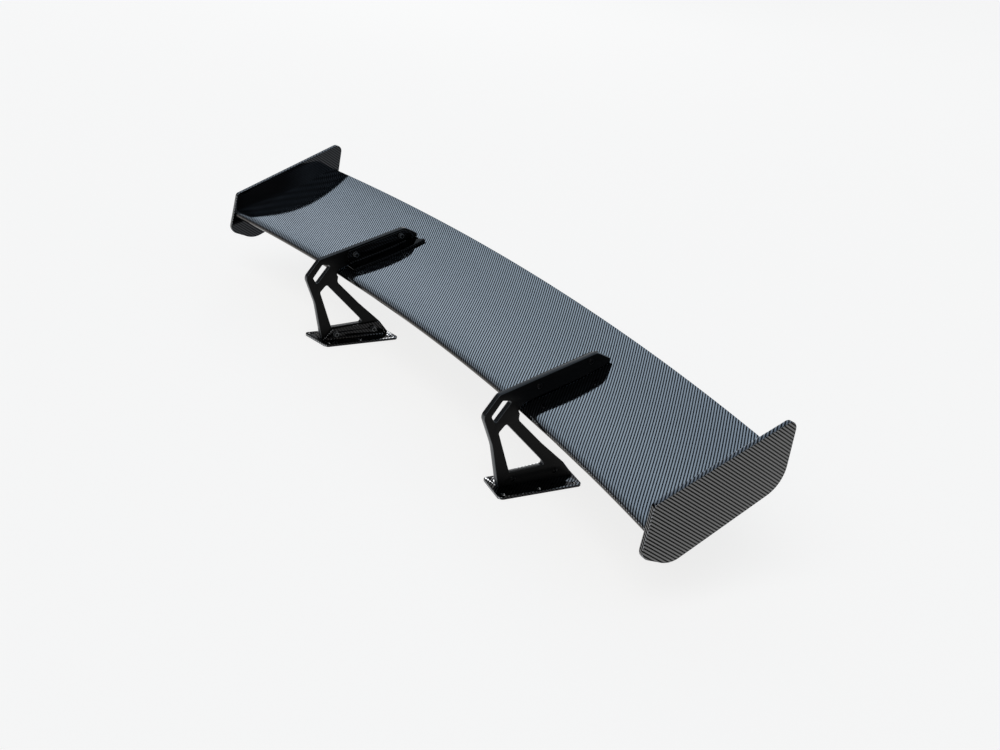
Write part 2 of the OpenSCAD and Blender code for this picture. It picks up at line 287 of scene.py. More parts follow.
def twill(name, bright, deep, turn=0.0, gloss=0.04, lacquer=0.05):
    """Two-by-two twill under lacquer: each tow passes over two and under two, one step on from
    its neighbour. The tows that would lie across the light are given the bright colour and those
    along it the deep one, a painted sheen on one black fibre, and the sides of each tow are
    darkened as painted shade."""
    tow = 0.00151
    material, tree = start_material(name)
    cloth = add(tree, "ShaderNodeUVMap", uv_map="cloth")
    place = add(tree, "ShaderNodeMapping", {
        "Vector": cloth, "Rotation": (0.0, 0.0, -math.radians(turn)), "Scale": (1 / tow, 1 / tow, 1.0)})
    part = add(tree, "ShaderNodeSeparateXYZ", {0: place})
    column = add(tree, "ShaderNodeMath", {0: part.outputs["X"]}, operation="FLOOR")
    row = add(tree, "ShaderNodeMath", {0: part.outputs["Y"]}, operation="FLOOR")
    both = add(tree, "ShaderNodeMath", {0: column, 1: row})
    repeat = add(tree, "ShaderNodeMath", {0: both, 1: 4.0}, operation="FLOORED_MODULO")
    warp = add(tree, "ShaderNodeMath", {0: repeat, 1: 1.5}, operation="LESS_THAN")
    # The crown of a tow: 1 along its middle and 0 at its two sides.
    in_column = add(tree, "ShaderNodeMath", {0: part.outputs["X"]}, operation="FRACT")
    in_row = add(tree, "ShaderNodeMath", {0: part.outputs["Y"]}, operation="FRACT")
    across = add(tree, "ShaderNodeMix", {0: warp, 2: in_row, 3: in_column})
    to_side = add(tree, "ShaderNodeMath", {0: across, 1: 0.5}, operation="SUBTRACT")
    side_square = add(tree, "ShaderNodeMath", {0: to_side, 1: to_side}, operation="MULTIPLY")
    crown = add(tree, "ShaderNodeMath", {0: side_square, 1: -4.0, 2: 1.0}, operation="MULTIPLY_ADD")
    # Bundles of fibres within a tow, about 0.15 mm wide, run along it.
    weft_way = add(tree, "ShaderNodeMapping", {"Vector": place, "Scale": (0.6, 10.0, 1.0)})
    warp_way = add(tree, "ShaderNodeMapping", {"Vector": place, "Scale": (10.0, 0.6, 1.0)})
    way = add(tree, "ShaderNodeMix", {0: warp, 4: weft_way, 5: warp_way}, data_type="VECTOR")
    fibres = add(tree, "ShaderNodeTexNoise", {"Vector": way.outputs[1], "Scale": 1.0, "Detail": 2.0})
    # The bright colour of every other pair of tows is a painted sheen.
    colour = add(tree, "ShaderNodeMix", {0: warp, 6: deep, 7: bright}, data_type="RGBA")
    # Each tow darkens towards its sides: painted shade in the creases between the tows.
    painted_crease_shade = add(tree, "ShaderNodeMapRange", {0: crown, 2: 0.35, 3: 0.88, 4: 1.0})
    streak = add(tree, "ShaderNodeMapRange", {0: fibres, 1: 0.25, 2: 0.75, 3: 0.92, 4: 1.06})
    # The painted crease shade, times the real streaks of the fibres.
    light = add(tree, "ShaderNodeMath", {0: painted_crease_shade, 1: streak}, operation="MULTIPLY")
    shown = add(tree, "ShaderNodeVectorMath", {0: colour.outputs[2], "Scale": light}, operation="SCALE")
    rough = add(tree, "ShaderNodeMapRange", {0: fibres, 3: gloss, 4: gloss + 0.04})
    height = add(tree, "ShaderNodeMath", {0: fibres, 1: 0.15, 2: crown}, operation="MULTIPLY_ADD")
    bump = add(tree, "ShaderNodeBump", {"Height": height, "Strength": 0.02, "Distance": 0.0001})
    shader = add(tree, "ShaderNodeBsdfPrincipled", {
        "Base Color": shown, "Metallic": 1.0, "Roughness": rough, "Normal": bump,
        "Coat Weight": lacquer, "Coat Roughness": 0.0, "Coat IOR": 1.5})
    add(tree, "ShaderNodeOutputMaterial", {"Surface": shader})
    return material


# Lacquered carbon twill: its bright rows are a painted sheen in the blue-grey of the sky, with
# near-black rows between them, under a clear gloss.
blade_cloth = twill("lacquered carbon twill of the blade", linear("#e9f1f8"), linear("#0c0e12"), lacquer=0.1)
# The same cloth on the underside and round the nose, made darker and warmer as painted shade.
shaded_under_cloth = twill("carbon twill of the underside in painted shade", linear("#5c5854"), linear("#100e0d"))

for name, side, node, finish in (
    ("blade_shell_upper", 1, "blade_upper_skin", blade_cloth),
    ("blade_shell_lower", -1, "blade_lower_skin", shaded_under_cloth)):
    outline = [section(side * q) for q in steps(0, 1, 40)]
    outline.append(section(1) - Vector((0, trailing_edge / 2)))
    outline.append(Vector((chord * bond_start, camber_line(bond_start))))
    outline += [off_section(side * q, -skin) for q in steps(math.sqrt(bond_start), 0, 40)]
    curve = bpy.data.curves.new(name + "_section", "CURVE")
    curve.dimensions = "3D"
    spline = curve.splines.new("POLY")
    spline.points.add(len(outline) - 1)
    turned = Matrix.Rotation(blade_angle - bow_tilt, 2)
    for point, spot in zip(spline.points, outline):
        point.co = (*(turned @ spot), 0.0, 1.0)
    spline.use_cyclic_u = True
    shell = grown(name, curve, bowed, {
        "Half span": blade_half, "Bow radius": bow_radius, "Bow tilt": bow_tilt, "Nose": nose,
        "Stations": 97, "Cloth drift": 0.97 / (2 * bow_radius), "Material": finish})
    outward(shell)
    shade(shell, 40)
    shell.data.materials.append(shaded_under_cloth)
    # Faces that face up by less than that share get the painted shade.
    for face in shell.data.polygons:
        if face.normal.z < painted_shade_limit:
            face.material_index = 1
    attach(shell, "root")
    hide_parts(node)


# ---------------------------------------------------------------------------------------
# End plates: 8 mm carbon laminate, cut to a long blade-shaped outline with rounded corners
# and broken edges, and glued to the end ribs of the blade over two steel dowels.


def corner(a, b, c, radius, count):
    """The points that round the corner b, between a and c."""
    if radius == 0:
        return [b]
    u = (a - b).normalized()
    v = (c - b).normalized()
    half = u.angle(v) / 2
    middle = b + (u + v).normalized() * radius / math.sin(half)
    first = b + u * radius / math.tan(half) - middle
    last = b + v * radius / math.tan(half) - middle
    start = math.atan2(first.y, first.x)
    turn = (math.atan2(last.y, last.x) - start + math.pi) % (2 * math.pi) - math.pi
    return [middle + radius * Vector((math.cos(start + turn * k / count), math.sin(start + turn * k / count)))
            for k in range(count + 1)]


def rounded(corners, count=14):
    """An outline in metres from corners in millimetres, each with its radius."""
    spots = [Vector((y, z)) * 0.001 for y, z, _ in corners]
    return [spot for i, (_, _, radius) in enumerate(corners)
            for spot in corner(spots[i - 1], spots[i], spots[(i + 1) % len(spots)], radius * 0.001, count)]


def ring(middle, diameter, count=32):
    return [Vector(middle) * 0.001 + diameter / 2 * Vector((
        math.cos(2 * math.pi * k / count), math.sin(2 * math.pi * k / count))) for k in range(count)]


def plate(outline, holes, thickness, edge, place):
    """The mesh of a flat plate with its edges broken, cut from an outline and set at its place."""
    curve = bpy.data.curves.new("plate", "CURVE")
    curve.dimensions = "2D"
    curve.fill_mode = "BOTH"
    curve.extrude = thickness / 2 - edge
    curve.bevel_depth = edge
    curve.bevel_resolution = 2
    curve.offset = -edge
    for line in [outline] + holes:
        spline = curve.splines.new("POLY")
        spline.points.add(len(line) - 1)
        for point, spot in zip(spline.points, line):
            point.co = (spot.x, spot.y, 0.0, 1.0)
        spline.use_cyclic_u = True
    blank = bpy.data.objects.new("plate", curve)
    bpy.context.scene.collection.objects.link(blank)
    mesh = settled(blank, "plate").data
    bpy.data.objects.remove(bpy.data.objects["plate"])
    mesh.transform(place)
    return mesh


def upright_plane(x):
    """Takes a drawing of (y, z) from the front of the foot to the plane at x."""
    return Matrix(((0, 0, 1, x), (1, 0, 0, foot_y), (0, 1, 0, foot_z), (0, 0, 0, 1)))


def assembled(name, meshes, side, angle=35):
    """One piece made of meshes drawn for the left side, or mirrored for the right."""
    shape = bmesh.new()
    for mesh in meshes:
        shape.from_mesh(mesh)
    bmesh.ops.remove_doubles(shape, verts=shape.verts, dist=1e-6)
    bmesh.ops.transform(shape, matrix=Matrix.Diagonal((side, 1, 1, 1)), verts=shape.verts)
    bmesh.ops.recalc_face_normals(shape, faces=shape.faces)
    mesh = bpy.data.meshes.new(name)
    shape.to_mesh(mesh)
    shape.free()
    piece = bpy.data.objects.new(name, mesh)
    bpy.context.scene.collection.objects.link(piece)
    shade(piece, angle)
    return piece


def lay_cloth(piece):
    """Lays cloth flat on each face, seen from the side that it faces."""
    mesh = piece.data
    layer = mesh.uv_layers.new(name="cloth")
    for face in mesh.polygons:
        facing = [abs(part) for part in face.normal]
        across, up = ((1, 2), (0, 2), (1, 0))[facing.index(max(facing))]
        for loop in face.loop_indices:
            spot = mesh.vertices[mesh.loops[loop].vertex_index].co
            layer.data[loop].uv = (spot[across], spot[up])


end_plate_outline = rounded([
    [-9.6, 157, 8], [208.8, 251.3, 11], [201, 153.3, 50], [29.3, 64.8, 38], [-20.4, 82.3, 15]])
end_plate_thickness = 0.008

# The outer faces and the front edge: the twill with neutral grey rows, a painted sheen, on near-black.
plate_cloth = twill("lacquered carbon twill of the end plates", linear("#6e6e6e"), linear("#000000"), 12.1)
# The inner faces: the same cloth darkened as painted shade, nearly black.
shaded_inner_cloth = twill("shade-darkened carbon twill", linear("#3c3e41"), linear("#0d0d0e"), 12.1)
# The other edges: the same cloth lighter and blue-grey, a painted sheen of the sky.
lit_edge_cloth = twill("carbon twill of the end plate edges in painted light", linear("#bbc0c7"), linear("#1a1c20"))

for side, which in ((1, "left"), (-1, "right")):
    middle = blade_half + end_plate_thickness / 2
    board = assembled("end_plate_board_" + which, [
        plate(end_plate_outline, [], end_plate_thickness, 0.0007, upright_plane(middle))], side)
    lay_cloth(board)
    board.data.materials.append(plate_cloth)
    board.data.materials.append(shaded_inner_cloth)
    board.data.materials.append(lit_edge_cloth)
    # The inner faces get the painted shade, and the top, back and bottom edges the painted sheen.
    for face in board.data.polygons:
        outwards = face.normal.x * side
        if outwards < -0.8:
            face.material_index = 1
        elif outwards < 0.8 and face.normal.y > -0.7:
            face.material_index = 2
    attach(board, "root")
    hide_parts("end_plate_" + which)


# ---------------------------------------------------------------------------------------
# Dowels: four ground steel pins, 6 mm thick, pressed into the end ribs to place the plates.

# Ground steel: bright and satin, with fine rings of grinding 0.1 mm apart round the pin.
ground, tree = start_material("ground steel")
place = add(tree, "ShaderNodeTexCoord").outputs["Object"]
rings = add(tree, "ShaderNodeMapping", {"Vector": place, "Scale": (10000.0, 300.0, 300.0)})
marks = add(tree, "ShaderNodeTexNoise", {"Vector": rings, "Scale": 1.0, "Detail": 3.0})
colour = add(tree, "ShaderNodeMix", {0: marks, 6: linear("#b4b6b8"), 7: linear("#d2d3d4")}, data_type="RGBA")
rough = add(tree, "ShaderNodeMapRange", {0: marks, 3: 0.2, 4: 0.38})
scratches = add(tree, "ShaderNodeBump", {"Height": marks, "Strength": 0.2, "Distance": 0.00002})
shader = add(tree, "ShaderNodeBsdfPrincipled", {
    "Base Color": colour.outputs[2], "Metallic": 1.0, "Roughness": rough, "Normal": scratches})
add(tree, "ShaderNodeOutputMaterial", {"Surface": shader})
paint(["end_plate_dowels"], ground)


# ---------------------------------------------------------------------------------------
# Top brackets: carbon mouldings with an upright web, bolted to the inner face of an upright,
# and a flange that follows the upper skin and is glued to it above the hardpoint.

wall = 0.004
upright_face = 0.307
flange_inner = upright_face - 0.030
arm_bolts = [[55.3, 157.7], [143, 186.6]]
bolt_hole = 0.0055
fillet = 0.003


def on_blade(x, q, distance):
    """A point at a distance from the skin, at a place along the span and round the section."""
    flat = Matrix.Rotation(blade_angle - bow_tilt, 2) @ off_section(q, distance)
    back = math.sqrt((bow_radius + flat.x) ** 2 - x * x) - bow_radius
    return nose + Matrix.Rotation(bow_tilt, 3, "X") @ Vector((x, back, flat.y))


def q_at(x, y, distance):
    """Where the offset section passes a distance y behind the front of the foot."""
    low, high = 0.1, 1.0
    for _ in range(40):
        middle = (low + high) / 2
        if on_blade(x, middle, distance).y < foot_y + y:
            low = middle
        else:
            high = middle
    return low


def loft(rings):
    """A closed mesh through rings of points, capped at both ends."""
    shape = bmesh.new()
    rows = [[shape.verts.new(point) for point in points] for points in rings]
    count = len(rows[0])
    for row, following in zip(rows, rows[1:]):
        for k in range(count):
            shape.faces.new((row[k], row[(k + 1) % count], following[(k + 1) % count], following[k]))
    shape.faces.new(rows[0])
    shape.faces.new(rows[-1])
    bmesh.ops.recalc_face_normals(shape, faces=shape.faces)
    mesh = bpy.data.meshes.new("loft")
    shape.to_mesh(mesh)
    shape.free()
    return mesh


def softened(mesh, edge):
    """The mesh with its sharp edges rounded off."""
    piece = bpy.data.objects.new("softened_start", mesh)
    bpy.context.scene.collection.objects.link(piece)
    bevel = piece.modifiers.new("edge", "BEVEL")
    bevel.width = edge
    bevel.segments = 2
    bevel.limit_method = "ANGLE"
    bevel.angle_limit = math.radians(40)
    result = settled(piece, "softened")
    mesh = result.data
    bpy.data.objects.remove(result)
    return mesh


def drawn(point):
    """A point as (y, z) in millimetres from the front of the foot, with no rounding."""
    return [(point.y - foot_y) * 1000, (point.z - foot_z) * 1000, 0]


def flange_mesh():
    """The flange, as rows across its width from the front to the back, each a flat ring."""
    inner, outer = flange_inner, upright_face - 0.002
    xs = steps(inner, outer, 8)

    def rear(x):
        if x < inner + 0.003:
            return 0.178 + (x - inner) / 0.003 * 0.002
        return 0.180 - (x - inner - 0.003) / 0.027 * 0.018

    rings = []
    for share in steps(0, 1, 24):
        line = []
        for distance, row in ((0.00015, xs), (wall, xs[::-1])):
            for x in row:
                q = q_at(x, 0.043 + share * (rear(x) - 0.043), distance)
                line.append(on_blade(x, q, distance))
        rings.append(line)
    return loft(rings)


def flange_fillet():
    """The moulded round in the corner between the web and the flange."""
    web = upright_face - wall
    rings = []
    for q in steps(0.34, 0.80, 24):
        line = [(web + 0.0005, wall - 0.0005), (web + 0.0005, wall + fillet)]
        for k in range(7):
            angle = math.radians(90 * k / 6)
            line.append((web - fillet * (1 - math.cos(angle)), wall + fillet * (1 - math.sin(angle))))
        line.append((web - fillet, wall - 0.0005))
        rings.append([on_blade(x, q, distance) for x, distance in line])
    return loft(rings)


# The carbon twill darkened as painted shade: nearly black, with a faint grey weave.
shaded_web_cloth = twill("shade-darkened carbon twill of the webs", linear("#303031"), linear("#050505"))

web_under = [drawn(on_blade(upright_face, q, 0.0003)) for q in steps(0.84, 0.32, 20)]
web_outline = rounded([[39, 163.2, 8], [151, 196.8, 12], [172, 188.5, 5]] + web_under)
bolt_rings = [ring(spot, bolt_hole) for spot in arm_bolts]
for side, which in ((1, "left"), (-1, "right")):
    web = plate(web_outline, bolt_rings, wall, 0.0005, upright_plane(upright_face - wall / 2))
    bracket = assembled("bracket_moulding_" + which, [
        web, softened(flange_mesh(), 0.0006), flange_fillet()], side)
    lay_cloth(bracket)
    bracket.data.materials.append(shaded_web_cloth)
    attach(bracket, "root")
    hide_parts("top_bracket_" + which)


# ---------------------------------------------------------------------------------------
# Uprights: swan necks cut from 10 mm aluminium plate, with a slot and a window milled out
# for lightness, their edges chamfered, and anodised black. They hold the blade from above.

upright_thickness = 0.010
upright_middle = upright_face + upright_thickness / 2
upright_edge = 0.0008
foot_bolts = [[27, 10], [101, 13]]
nose_gap = 0.0025
tip_gap = 0.0005
arm_under = [drawn(on_blade(upright_middle, q, nose_gap + (tip_gap - nose_gap) * max(0, q)))
             for q in steps(0.865, -0.05, 30)]
upright_outline = rounded([
    [26, 106.6, 9], [72, 62.3, 150], [115.5, 24.6, 12], [136, 0, 2], [2.2, 0, 2], [-14.8, 70, 80],
    [-35.9, 118.5, 12], [-11.9, 150.6, 9], [152.7, 199, 14], [178.8, 187, 2]] + arm_under)
slot_outline = rounded([[-21.8, 117.6, 3], [-5.3, 141.3, 3], [11.5, 139.1, 3], [-13.9, 105.4, 3]])
window_outline = rounded([[5.4, 103.4, 4], [-6.5, 90, 4], [19.7, 21.5, 2], [84.4, 25.1, 4]])


def anodised(name, dark, light, smooth):
    """Black anodised aluminium: a dyed oxide film on metal, near-black and satin, with a grain
    0.3 mm across."""
    material, tree = start_material(name)
    place = add(tree, "ShaderNodeTexCoord").outputs["Object"]
    grain = add(tree, "ShaderNodeTexNoise", {"Vector": place, "Scale": 3300.0, "Detail": 2.0})
    clouds = add(tree, "ShaderNodeTexNoise", {"Vector": place, "Scale": 30.0, "Detail": 3.0})
    base = add(tree, "ShaderNodeMix", {0: clouds, 6: dark, 7: light}, data_type="RGBA")
    speckle = add(tree, "ShaderNodeMapRange", {0: grain, 1: 0.3, 2: 0.7, 3: 0.85, 4: 1.15})
    colour = add(tree, "ShaderNodeVectorMath", {0: base.outputs[2], "Scale": speckle}, operation="SCALE")
    rough = add(tree, "ShaderNodeMapRange", {0: clouds, 3: smooth, 4: smooth + 0.12})
    blasted = add(tree, "ShaderNodeBump", {"Height": grain, "Strength": 0.15, "Distance": 0.00003})
    shader = add(tree, "ShaderNodeBsdfPrincipled", {
        "Base Color": colour, "Metallic": 1.0, "Roughness": rough, "Normal": blasted})
    add(tree, "ShaderNodeOutputMaterial", {"Surface": shader})
    return material


# The flat faces are blasted and rougher; the edges are smoother, and their lighter grey is a painted sheen.
blasted_black = anodised("black anodised aluminium", linear("#171717"), linear("#1e1e1e"), 0.42)
lit_edge_black = anodised("black anodised edge in painted light", linear("#484a4c"), linear("#545658"), 0.24)

upright_holes = [slot_outline, window_outline]
upright_holes += [ring(spot, bolt_hole) for spot in arm_bolts + foot_bolts]
for side, which in ((1, "left"), (-1, "right")):
    neck = assembled("swan_neck_" + which, [
        plate(upright_outline, upright_holes, upright_thickness, upright_edge,
              upright_plane(upright_middle))], side)
    neck.data.materials.append(blasted_black)
    neck.data.materials.append(lit_edge_black)
    # Every face but the two flat sides gets the lighter grey, a painted sheen.
    for face in neck.data.polygons:
        face.material_index = 0 if abs(face.normal.x) > 0.9 else 1
    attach(neck, "root")
    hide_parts("upright_" + which)


# ---------------------------------------------------------------------------------------
# Foot brackets: a carbon base plate with six holes for the boot lid and an upstanding
# flange, moulded in one piece and bolted to the inner face of the upright.

base_half_width = 35.0
base_half_length = 73.25
base_skew = 0.17
base_middle = (314.0, 64.75)
hole_row = 26.0
hole_pitch = 62.0
hole_diameter = 0.0065
lean = base_skew * base_half_width
base_outline = rounded([
    [base_half_width, -base_half_length - lean, 8], [base_half_width, base_half_length - lean, 8],
    [-base_half_width, base_half_length + lean, 8], [-base_half_width, -base_half_length + lean, 8]])
base_holes = [ring((row * hole_row, place * hole_pitch - row * base_skew * hole_row), hole_diameter)
              for row in (-1, 1) for place in (-1, 0, 1)]
foot_flange_outline = rounded([[3, -1, 0], [20, 19, 12], [111, 25.5, 6], [129, -1, 0]])


# Clear lacquered twill on the base plates: its silver tows are a painted glint, between black ones.
base_cloth = twill("lacquered carbon twill of the base plates", linear("#a9abad"), linear("#060607"))


def foot_fillet():
    """The moulded round between the flange and the base plate."""
    web = upright_face - wall
    rings = []
    for y in (0.008, 0.122):
        line = [(web + 0.0005, -0.0005), (web + 0.0005, fillet)]
        for k in range(7):
            angle = math.radians(90 * k / 6)
            line.append((web - fillet * (1 - math.cos(angle)), fillet * (1 - math.sin(angle))))
        line.append((web - fillet, -0.0005))
        rings.append([Vector((x, foot_y + y, foot_z + z)) for x, z in line])
    return loft(rings)


for side, which in ((1, "left"), (-1, "right")):
    at_base = Matrix.Translation((base_middle[0] * 0.001, foot_y + base_middle[1] * 0.001, wall / 2))
    foot = assembled("foot_moulding_" + which, [
        plate(base_outline, base_holes, wall, 0.0005, at_base),
        plate(foot_flange_outline, [ring(spot, bolt_hole) for spot in foot_bolts], wall, 0.0005,
              upright_plane(upright_face - wall / 2)),
        foot_fillet()], side)
    lay_cloth(foot)
    foot.data.materials.append(base_cloth)
    foot.data.materials.append(shaded_web_cloth)
    # The faces that face sideways get the twill darkened as painted shade.
    for face in foot.data.polygons:
        face.material_index = 1 if abs(face.normal.x) > 0.8 else 0
    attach(foot, "root")
    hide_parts("foot_bracket_" + which)


# ---------------------------------------------------------------------------------------
# Screws: M5 button heads of blackened steel, turned, with a rolled thread and a hexagon socket.
# Each goes through an upright and the web of a bracket, four to an upright.

thread = 0.005
thread_pitch = 0.0008
screw_grip = 0.021
head_seat = upright_face + upright_thickness
head_width = 0.0095
head_height = 0.00275
dome_radius = (head_width ** 2 / 4 + head_height ** 2) / (2 * head_height)
socket_flats = 0.003
socket_depth = 0.0016
flats_to_corners = 2 / math.sqrt(3)


def lathe(tree, start, end, count, radius):
    """A bar along X with its own radius, a field, at each of its stations."""
    first = add(tree, "ShaderNodeCombineXYZ", {"X": start})
    last = add(tree, "ShaderNodeCombineXYZ", {"X": end})
    line = add(tree, "GeometryNodeCurvePrimitiveLine", {"Start": first, "End": last})
    stations = add(tree, "GeometryNodeResampleCurve", {"Curve": line, "Count": count})
    rim = add(tree, "GeometryNodeCurvePrimitiveCircle", {"Resolution": 32, "Radius": 1.0})
    return add(tree, "GeometryNodeCurveToMesh", {
        "Curve": stations, "Profile Curve": rim, "Scale": radius, "Fill Caps": True})


def prism(tree, sides, radius, length, middle):
    """A bar along X with flat sides, or with many for a round one."""
    solid = add(tree, "GeometryNodeMeshCylinder", {"Vertices": sides, "Radius": radius, "Depth": length})
    shift = add(tree, "ShaderNodeCombineXYZ", {"X": middle})
    return add(tree, "GeometryNodeTransform", {
        0: solid, "Translation": shift, "Rotation": (0.0, math.pi / 2, 0.0)})


def placed(tree, sizes, solid):
    """The solid at every bolt place, its head end away from the middle of the wing, and painted."""
    x = add(tree, "ShaderNodeSeparateXYZ", {0: add(tree, "GeometryNodeInputPosition")}).outputs["X"]
    right = add(tree, "ShaderNodeMath", {0: x, 1: 0.0}, operation="LESS_THAN")
    half_turn = add(tree, "ShaderNodeMath", {0: right, 1: math.pi}, operation="MULTIPLY")
    turn = add(tree, "ShaderNodeCombineXYZ", {"Z": half_turn})
    copies = add(tree, "GeometryNodeInstanceOnPoints", {
        "Points": sizes.outputs["Geometry"], "Instance": solid, "Rotation": turn})
    real = add(tree, "GeometryNodeRealizeInstances", {"Geometry": copies})
    finish = add(tree, "GeometryNodeSetMaterial", {"Geometry": real, "Material": sizes.outputs["Material"]})
    add(tree, "NodeGroupOutput", {"Geometry": finish})


screw_tree, sizes = start_tree("button head screws", {
    "Thread": "Float", "Pitch": "Float", "Grip": "Float", "Head height": "Float",
    "Dome radius": "Float", "Socket radius": "Float", "Socket depth": "Float",
    "Stations": "Int", "Material": "Material"})
x = add(screw_tree, "ShaderNodeSeparateXYZ", {
    0: add(screw_tree, "GeometryNodeInputPosition")}).outputs["X"]
# The thread rises and falls once in each pitch.
half_pitch = add(screw_tree, "ShaderNodeMath", {0: sizes.outputs["Pitch"], 1: 0.5}, operation="MULTIPLY")
groove = add(screw_tree, "ShaderNodeMath", {0: x, 1: half_pitch}, operation="PINGPONG")
half_thread = add(screw_tree, "ShaderNodeMath", {0: sizes.outputs["Thread"], 1: 0.5}, operation="MULTIPLY")
shank = add(screw_tree, "ShaderNodeMath", {0: half_thread, 1: groove}, operation="SUBTRACT")
# The head is the cap of a ball. This is the square of the radius of the small flat at its top.
flat_top = 1e-7
ball_radius = sizes.outputs["Dome radius"]
sunk = add(screw_tree, "ShaderNodeMath", {
    0: ball_radius, 1: sizes.outputs["Head height"]}, operation="SUBTRACT")
up = add(screw_tree, "ShaderNodeMath", {0: x, 1: sunk})
up_square = add(screw_tree, "ShaderNodeMath", {0: up, 1: up}, operation="MULTIPLY")
ball = add(screw_tree, "ShaderNodeMath", {0: ball_radius, 1: ball_radius}, operation="MULTIPLY")
inside = add(screw_tree, "ShaderNodeMath", {0: ball, 1: up_square}, operation="SUBTRACT")
level = add(screw_tree, "ShaderNodeMath", {0: inside, 1: flat_top}, operation="MAXIMUM")
dome = add(screw_tree, "ShaderNodeMath", {0: level, 1: 0.5}, operation="POWER")
in_head = add(screw_tree, "ShaderNodeMath", {0: x, 1: 1e-5}, operation="GREATER_THAN")
radius = add(screw_tree, "ShaderNodeMix", {0: in_head, 2: shank, 3: dome})
screw_end = add(screw_tree, "ShaderNodeMath", {0: sizes.outputs["Grip"], 1: -1.0}, operation="MULTIPLY")
body = lathe(screw_tree, screw_end, sizes.outputs["Head height"], sizes.outputs["Stations"], radius)
double_depth = add(screw_tree, "ShaderNodeMath", {
    0: sizes.outputs["Socket depth"], 1: 2.0}, operation="MULTIPLY")
key = prism(screw_tree, 6, sizes.outputs["Socket radius"], double_depth, sizes.outputs["Head height"])
screw = add(screw_tree, "GeometryNodeMeshBoolean", {"Mesh 1": body, "Mesh 2": key}, solver="EXACT")
placed(screw_tree, sizes, screw)


def bolt_places(x, bolts):
    """A mesh with one point for each bolt, on both sides of the wing."""
    points = bpy.data.meshes.new("bolt_places")
    points.from_pydata([(side * x, foot_y + y * 0.001, foot_z + z * 0.001)
                        for side in (1, -1) for y, z in bolts], [], [])
    return points


def turned_steel(name, dark, light, smooth, grit):
    """Turned steel: the colour clouds a little, and fine tool marks and pits catch the light."""
    material, tree = start_material(name)
    place = add(tree, "ShaderNodeTexCoord").outputs["Object"]
    clouds = add(tree, "ShaderNodeTexNoise", {"Vector": place, "Scale": 400.0, "Detail": 3.0})
    lines = add(tree, "ShaderNodeMapping", {"Vector": place, "Scale": (1 / grit, 300.0, 300.0)})
    marks = add(tree, "ShaderNodeTexNoise", {"Vector": lines, "Scale": 1.0, "Detail": 2.0})
    colour = add(tree, "ShaderNodeMix", {0: clouds, 6: dark, 7: light}, data_type="RGBA")
    rough = add(tree, "ShaderNodeMapRange", {0: marks, 3: smooth, 4: smooth + 0.15})
    ridges = add(tree, "ShaderNodeBump", {"Height": marks, "Strength": 0.3, "Distance": 0.00002})
    shader = add(tree, "ShaderNodeBsdfPrincipled", {
        "Base Color": colour.outputs[2], "Metallic": 1.0, "Roughness": rough, "Normal": ridges})
    add(tree, "ShaderNodeOutputMaterial", {"Surface": shader})
    return material


# Blackened steel: an oxide film that leaves the metal nearly black, with a soft glint.
blackened = turned_steel("blackened steel", linear("#131313"), linear("#1d1d1e"), 0.3, 0.0002)

for which, bolts in (("arm", arm_bolts), ("foot", foot_bolts)):
    screws = grown(which + "_button_screws", bolt_places(head_seat, bolts), screw_tree, {
        "Thread": thread, "Pitch": thread_pitch, "Grip": screw_grip, "Head height": head_height,
        "Dome radius": dome_radius, "Socket radius": socket_flats / 2 * flats_to_corners,
        "Socket depth": socket_depth, "Stations": 120, "Material": blackened})
    outward(screws)
    shade(screws, 35)
    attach(screws, "root")
    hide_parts(which + "_screws")


# ---------------------------------------------------------------------------------------
# Washers: punched steel rings with rolled edges, zinc plated, one under each nut.

washer_width = 0.010
washer_hole = 0.0053
washer_thickness = 0.001
washer_middle = upright_face - wall - washer_thickness / 2

washer_tree, sizes = start_tree("punched washers", {
    "Mean radius": "Float", "Wall": "Float", "Thickness": "Float", "Edge": "Float",
    "Material": "Material"})
flat = add(washer_tree, "GeometryNodeCurvePrimitiveQuadrilateral", {
    "Width": sizes.outputs["Wall"], "Height": sizes.outputs["Thickness"]})
rolled = add(washer_tree, "GeometryNodeFilletCurve", {
    "Curve": flat, "Count": 3, "Radius": sizes.outputs["Edge"]}, mode="POLY")
hoop = add(washer_tree, "GeometryNodeCurvePrimitiveCircle", {
    "Resolution": 48, "Radius": sizes.outputs["Mean radius"]})
torus = add(washer_tree, "GeometryNodeCurveToMesh", {"Curve": hoop, "Profile Curve": rolled})
upright_ring = add(washer_tree, "GeometryNodeTransform", {0: torus, "Rotation": (0.0, math.pi / 2, 0.0)})
placed(washer_tree, sizes, upright_ring)

# Zinc plate gone dull: a darkened grey, with small clouds and scratches.
zinc = turned_steel("dulled zinc plate", linear("#56585a"), linear("#6e7072"), 0.35, 0.0003)

for which, bolts in (("arm", arm_bolts), ("foot", foot_bolts)):
    washers = grown(which + "_plain_washers", bolt_places(washer_middle, bolts), washer_tree, {
        "Mean radius": (washer_width + washer_hole) / 4, "Wall": (washer_width - washer_hole) / 2,
        "Thickness": washer_thickness, "Edge": 0.0002, "Material": zinc})
    outward(washers)
    shade(washers, 50)
    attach(washers, "root")
    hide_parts(which + "_washers")


# ---------------------------------------------------------------------------------------
# Nuts: hexagon nuts of the same zinc plated steel, with their corners turned off at both ends.

nut_flats = 0.008
nut_height = 0.005
nut_middle = upright_face - wall - washer_thickness - nut_height / 2
bore_play = 0.00005

nut_tree, sizes = start_tree("hexagon nuts", {
    "Flats": "Float", "Height": "Float", "Bore": "Float", "Chamfer": "Float", "Material": "Material"})
corner_radius = add(nut_tree, "ShaderNodeMath", {
    0: sizes.outputs["Flats"], 1: flats_to_corners / 2}, operation="MULTIPLY")
block = prism(nut_tree, 6, corner_radius, sizes.outputs["Height"], 0.0)
